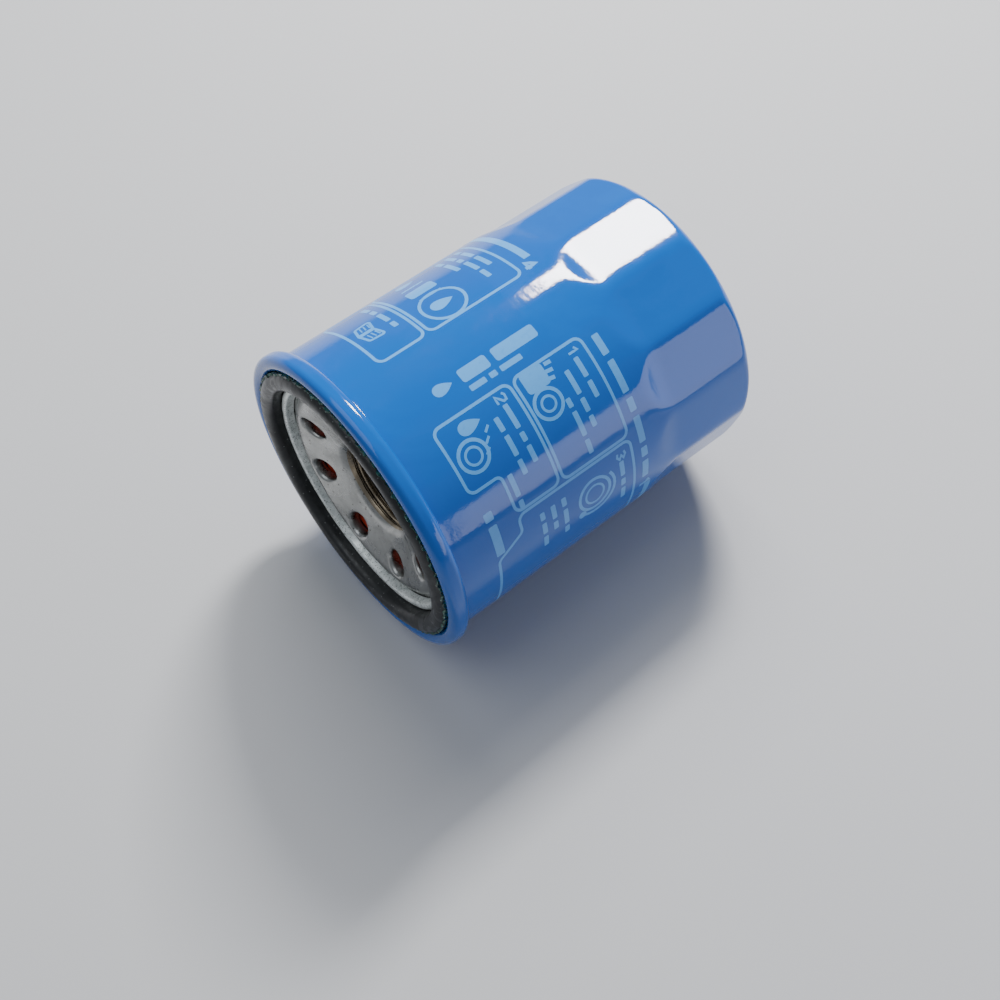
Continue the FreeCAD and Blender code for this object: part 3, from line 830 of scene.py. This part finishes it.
# %% Ink helpers
INK_TOP, INK_FOOT = 0.02 * MM, -0.03 * MM
DEGREE = 2 * math.pi * CAN_RADIUS / MM / 360     # millimetres round the can
PANEL_START, PANEL_END, LINE_BEND = 113.5, 153.5, 1.6
MITRE_LIMIT = 0.6
ink_vertices, ink_faces = [], []


def wrapped(flat, height):
    """Layout points (x in mm, angle in degrees) at a height over the can's wall."""
    x, angle = flat[..., 0] * MM, np.radians(flat[..., 1])
    return around(x, CAN_RADIUS + height, angle)


def add_ink(grid, wrap_rows):
    """Keeps one slab, whose columns go round its section, for the print's mesh."""
    start = sum(len(part) for part in ink_vertices)
    rows, columns = grid.shape[:2]
    ink_vertices.append(grid.reshape(-1, 3))
    ink_faces.append(grid_faces(rows, columns, wrap_rows=wrap_rows, start=start))
    if not wrap_rows:
        ends = np.array([np.arange(columns), np.arange(columns) + (rows - 1) * columns])
        ink_faces.append(ends + start)


def ribbon(corners, width=0.65, closed=False):
    """Line of ink along a path of (x, angle, corner radius in mm) corners. Each point's two
    edges lie along the mean of its neighbours' normals, drawn out to keep the width."""
    flat = np.array([(x, angle * DEGREE, radius) for x, angle, radius in corners], float)
    path = refined(rounded(flat, steps=6), 1.2, closed=closed)
    if closed:
        ahead, behind = np.roll(path, -1, axis=0) - path, path - np.roll(path, 1, axis=0)
    else:
        step = np.diff(path, axis=0)
        ahead, behind = np.vstack([step, step[-1]]), np.vstack([step[0], step])
    ahead /= np.linalg.norm(ahead, axis=1)[:, None]
    behind /= np.linalg.norm(behind, axis=1)[:, None]
    side = np.stack([-(ahead + behind)[:, 1], (ahead + behind)[:, 0]], 1)
    side /= np.maximum((side**2).sum(1) / 2, MITRE_LIMIT)[:, None]
    left, right = path + side * width / 2, path - side * width / 2
    edges = np.stack([left, right, right, left], axis=1) / [1, DEGREE]
    height = np.array([INK_TOP, INK_TOP, INK_FOOT, INK_FOOT])
    add_ink(wrapped(edges, height), closed)


def blob(centre, outline):
    """Filled shape: rings from its centre to an outline of (x, degrees) offsets in mm, over
    the rim and back underneath. The centre rings close the slab."""
    outline = np.array(outline, float)
    scale = np.array([0.001, 0.35, 0.7, 1, 1, 0.7, 0.35, 0.001])[:, None, None]
    height = np.array([INK_TOP] * 4 + [INK_FOOT] * 4)[:, None]
    flat = np.array(centre) + outline / [1, DEGREE] * scale
    add_ink(wrapped(flat, height), False)


def box_outline(length, height, radius):
    """Rounded rectangle: length runs round the can and height along it."""
    a, b = height / 2, length / 2
    corners = [(-a, -b, radius), (a, -b, radius), (a, b, radius), (-a, b, radius)]
    return refined(rounded(corners, steps=4), 0.8)


def disc_outline(radius, count):
    """Round outline."""
    turn = np.linspace(0, 2 * math.pi, count, endpoint=False)
    return np.stack([radius * np.cos(turn), radius * np.sin(turn)], 1)


def drop_outline(size):
    """Drop whose tip points to the closed end: the teardrop curve."""
    turn = np.linspace(0, 2 * math.pi, 32, endpoint=False)
    return np.stack([size * np.cos(turn), size * 0.75 * np.sin(turn) * np.sin(turn / 2)], 1)


def circle(x, angle, radius, width):
    """Ring of ink round a point."""
    path = [(x + a, angle + b / DEGREE, 0) for a, b in disc_outline(radius, count=28)]
    ribbon(path, width, closed=True)


def frame_line(x0, x1, angle0, angle1):
    """Frame with rounded corners."""
    corners = ((x0, angle0), (x1, angle0), (x1, angle1), (x0, angle1))
    ribbon([(x, angle, LINE_BEND) for x, angle in corners], closed=True)


def words(x, angle, lengths, height=1.15, gap=0.9):
    """Row of bars for a line of text that runs round the can from an angle."""
    for length in lengths:
        blob((x, angle + length / 2 / DEGREE), box_outline(length, height, 0.25))
        angle += (length + gap) / DEGREE


STROKES = {
    "1": [[(0.15, 0.75), (0.5, 1), (0.5, 0)]],
    "2": [[(0, 0.8), (0.25, 1), (0.7, 0.95), (0.75, 0.65), (0, 0), (0.8, 0)]],
    "3": [[(0, 0.9), (0.4, 1), (0.75, 0.75), (0.35, 0.52), (0.75, 0.28), (0.4, 0), (0, 0.1)]],
    "4": [[(0.6, 0), (0.6, 1), (0, 0.3), (0.85, 0.3)]],
}


def numeral(digit, x, angle, size, width):
    """A number in single strokes, read round the can, with its top to the closed end."""
    for stroke in STROKES[digit]:
        ribbon([(x + b * size, angle + a * size / DEGREE, 0) for a, b in stroke], width)


# %% Frames and headings
ribbon([(13.3, PANEL_START, LINE_BEND), (31.3, PANEL_START, LINE_BEND),
        (31.3, PANEL_END, LINE_BEND), (20.5, PANEL_END, LINE_BEND),
        (20.5, 138, 1.2), (13.3, 138, LINE_BEND)], closed=True)
frame_line(32.3, 48.9, PANEL_START, PANEL_END)
ribbon([(14, 200, 0), (14, 168, LINE_BEND), (20.5, 162, 1.2), (20.5, 155, LINE_BEND),
        (48.9, 155, LINE_BEND), (48.9, 200, 0)])
frame_line(14.4, 25.4, 42, 83)
frame_line(26.4, 49.3, 42, 83)
words(51.9, 116.0, (4.6, 7.2, 3.0, 6.4, 2.6, 5.2), height=1.6, gap=1.3)
blob((20.3, 103.4), drop_outline(2.2))
for x0, x1 in ((24.4, 31.0), (32.4, 42.6)):
    blob(((x0 + x1) / 2, 103.4), box_outline(2.9, x1 - x0, 0.6))
for x0, x1 in ((24.6, 28.4), (29.3, 31.0), (31.9, 37.0)):
    blob(((x0 + x1) / 2, 108.6), box_outline(1.2, x1 - x0, 0.25))
for digit, x, angle in (("1", 45.1, 115.2), ("2", 27.4, 115.2), ("3", 45.1, 158.0)):
    numeral(digit, x, angle, size=2.1, width=0.5)
for digit, angle in (("1", 180.5), ("4", 79.2)):
    numeral(digit, 50.6, angle, size=2.6, width=0.8)
ribbon([(53.0, angle, 0) for angle in (184, 300, 430, 437.5)], 1.7)

# %% Rows of bars
for x, angle, lengths in (
    (45.9, 119, (4.3, 3.6)), (42.8, 121, (5.2, 3.0, 2.4)), (40.0, 129, (2.0, 5.4, 3.2)),
    (28.4, 119, (5.2, 2.0, 3.6)), (25.4, 121, (3.0, 4.4, 3.2)), (22.2, 139.5, (5.0, 1.8)),
    (45.9, 161.8, (4.0, 2.0, 3.4)),
    (31.0, 160, (2.2, 4.2, 2.0)), (28.3, 160, (3.6, 2.2)), (25.6, 160, (2.0, 3.0, 3.0)),
    (23.0, 46.5, (3.4, 2.2, 4.2, 2.0)),
    (46.9, 46, (2.2, 4.4, 5.4)), (44.4, 46, (4.4, 2.0, 4.8, 3.0)), (41.9, 46, (3.2, 5.6)),
):
    words(x, angle, lengths)
words(14.8, 146.5, (2.0, 7.6), height=2.0, gap=1.2)

# %% Pictograms
# Panel 1: a wiping cloth and a gasket face. Panel 2: a drop of oil over the gasket.
blob((36.4, 117.5), box_outline(4.6, 5.4, 0.8))
for index in range(3):
    ribbon([(39.6 - 0.6 * index, 115.2 + 2.4 * index, 0),
            (41.2 - 0.5 * index, 115.4 + 2.6 * index, 0)], 0.8)
circle(36.2, 127, 3.0, 0.75)
circle(36.2, 127, 1.5, 0.55)
blob((20.2, 118.5), drop_outline(2.5))
circle(17.8, 127.5, 3.1, 0.75)
circle(17.8, 127.5, 1.7, 0.55)
for index in range(3):
    ribbon([(23.4 - index, 121.5 + 3.2 * index, 0), (22.2 - index, 123.2 + 3.2 * index, 0)], 0.55)

# Panel 3: a filter turned by an arrow.
middle_x, middle_angle, reach = 38.5, 168, 5.2
circle(middle_x, middle_angle, 3.9, 0.7)
circle(middle_x, middle_angle, 2.3, 0.5)


def on_arrow(turn):
    """Point of the arrow round the filter."""
    return middle_x + reach * math.cos(turn), middle_angle + reach * math.sin(turn) / DEGREE


ribbon([(*on_arrow(turn), 0) for turn in np.linspace(-0.6, 2.2, 12)], 0.7)
blob(on_arrow(2.3), disc_outline(0.95, count=12))

# Panel 4: a drop in a ring, a filter between two marks, and a drop. Last panel: an open book.
circle(33.2, 74.2, 4.7, 0.7)
blob((33.0, 74.2), drop_outline(2.6))
blob((33.2, 60.5), box_outline(3.4, 6.4, 0.7))
for offset in (-6.2, 6.2):
    ribbon([(30.6, 60.5 + offset, 0), (35.8, 60.5 + offset, 0)], 0.6)
blob((33.2, 48.0), drop_outline(2.2))
spine = 66
for side in (-1, 1):
    page = ((16.2, 0.4, 0), (16.9, 5.2, 0.5), (20.4, 5.8, 0.5), (19.6, 0.4, 0))
    ribbon([(x, spine + side * out, bend) for x, out, bend in page], 0.6, closed=True)
    for row in range(3):
        ribbon([(17.5 + 0.9 * row, spine + side * 1.6, 0),
                (17.8 + 0.9 * row, spine + side * 4.6, 0)], 0.3)

# %% The hidden side
# Three more panels go on round the back, with rows of bars and a drop in a pair of rings.
for panel, start in enumerate((204, 262, 320)):
    frame_line(14.4, 48.9, start, start + 54)
    for x, lengths in ((45.5, (4.2, 5.4, 3.0, 4.4)), (42.8, (3.0, 2.2, 6.0, 3.6)),
                       (20.8, (5.4, 2.4, 4.0)), (18.1, (2.6, 5.0, 3.4, 2.0))):
        words(x, start + 5, lengths)
    circle(31.5, start + 27, 5.6, 0.75)
    circle(31.5, start + 27, 3.4 - 0.6 * panel, 0.55)
    blob((31.5, start + 27), drop_outline(1.6))

# %% The print's mesh and ink
ink_points = np.concatenate(ink_vertices)
ink_polygons = [face for part in ink_faces for face in part.tolist()]
ink = make_piece("print", ink_points, ink_polygons, merge=1e-8)

pale_ink = Finish("pale_blue_ink", (0.085, 0.34, 0.76), 0.16)
pale_ink.tint(pale_ink.effect(SMUDGES, Scale=500.0, Low=0.5, High=0.75), (0.05, 0.27, 0.68), 0.5)
pale_ink.bump(pale_ink.effect(GRAIN, Scale=900.0), 0.012 * MM)
pale_ink.on(ink)

# %% [markdown]
# ## Inside the can
# None of these pieces show while the filter is whole, but each has the finish it would have on
# a bench: tinned caps and tube, cured adhesive, pleated paper, a zinc-plated valve and its
# springs. The CAD meshes are used as they are, but for the valve's spring, which is a coil of
# its own. The real spring shortens as the valve opens; this one is a fixed coil of even pitch.

# %% Bypass spring
WIRE_RADIUS = 0.55 * MM
COIL_TURNS = 5
TURN_ROWS, WIRE_COLUMNS = 40, 18


def bypass_coil():
    """Tube round a helix: c + w (cos s u + sin s v), with u away from the axis, v square to u
    and to the wire. The first and last rings have no width, so they close the ends."""
    low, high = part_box("bypass_spring")
    length, coil_radius = high.x - low.x - 2 * WIRE_RADIUS, high.z - WIRE_RADIUS
    share = np.linspace(0, 1, COIL_TURNS * TURN_ROWS + 1)
    share = np.concatenate([share[:1], share, share[-1:]])[:, None]
    width = np.full(share.shape, WIRE_RADIUS)
    width[[0, -1]] = 0
    angle = 2 * math.pi * COIL_TURNS * share - math.pi / 2
    pitch = length / (2 * math.pi * COIL_TURNS * coil_radius)
    lean = 1 / math.hypot(1, pitch)
    section = np.linspace(0, 2 * math.pi, WIRE_COLUMNS, endpoint=False)[None]
    out, across = width * np.cos(section), width * np.sin(section)
    x = low.x + WIRE_RADIUS + length * share + across * lean
    sideways = -across * lean * pitch
    y = (coil_radius + out) * np.cos(angle) - sideways * np.sin(angle)
    z = (coil_radius + out) * np.sin(angle) + sideways * np.cos(angle)
    faces = grid_faces(len(share), WIRE_COLUMNS)
    return make_piece("coil_spring", np.stack([x, y, z], axis=-1), faces)


coil_spring = bypass_coil()
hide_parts("bypass_spring")
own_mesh(coil_spring)

# %% Inner finishes
inner = frame["nodes"]

tinned = Finish("tinned_steel", (0.62, 0.63, 0.64), 0.3, metallic=1.0)
tinned.tint(tinned.effect(SMUDGES, Scale=150.0), (0.45, 0.46, 0.48), 0.5)
tinned.roughen(tinned.effect(SMUDGES, Scale=240.0), 0.22, 0.42)
tinned.on(inner["bottom_end_cap"], inner["top_end_cap"], inner["centre_tube"],
          inner["bypass_cage"], inner["bypass_disc"], inner["media_seam_clip"])

adhesive = Finish("potting", (0.42, 0.30, 0.16), 0.35)
adhesive.tint(adhesive.effect(SPECKS, Scale=700.0, Size=0.3, Rarity=0.6), (0.6, 0.48, 0.3), 0.6)
adhesive.bump(adhesive.effect(GRAIN, Scale=300.0), 0.08 * MM)
adhesive.on(inner["bottom_potting"], inner["top_potting"])

paper = Finish("filter_paper", (0.72, 0.56, 0.34), 0.9)
paper.tint(paper.effect(GRAIN, Scale=2500.0), (0.60, 0.44, 0.24), 0.6)
paper.bump(paper.effect(GRAIN, Scale=2200.0), 0.05 * MM)
paper.on(inner["pleated_media"])

seal = Finish("seal_rubber", (0.02, 0.02, 0.022), 0.55)
seal.bump(seal.effect(GRAIN, Scale=1200.0), 0.02 * MM)
seal.on(inner["bypass_seal"])

rivet = Finish("zinc_rivet", (0.66, 0.64, 0.55), 0.32, metallic=1.0)
rivet.tint(rivet.effect(SMUDGES, Scale=500.0), (0.5, 0.48, 0.4), 0.6)
rivet.on(inner["bypass_stem"], inner["stem_retainer"])

spring_wire = Finish("spring_steel", (0.30, 0.30, 0.31), 0.28, metallic=1.0)
spring_wire.tint(spring_wire.effect(SCRATCHES, Scale=1500.0), (0.55, 0.55, 0.55), 0.6)
spring_wire.on(coil_spring)

blued = Finish("blued_spring_strip", (0.12, 0.14, 0.19), 0.3, metallic=1.0)
blued.tint(blued.effect(SMUDGES, Scale=200.0), (0.22, 0.2, 0.2), 0.6)
blued.on(inner["hold_down_spring"])
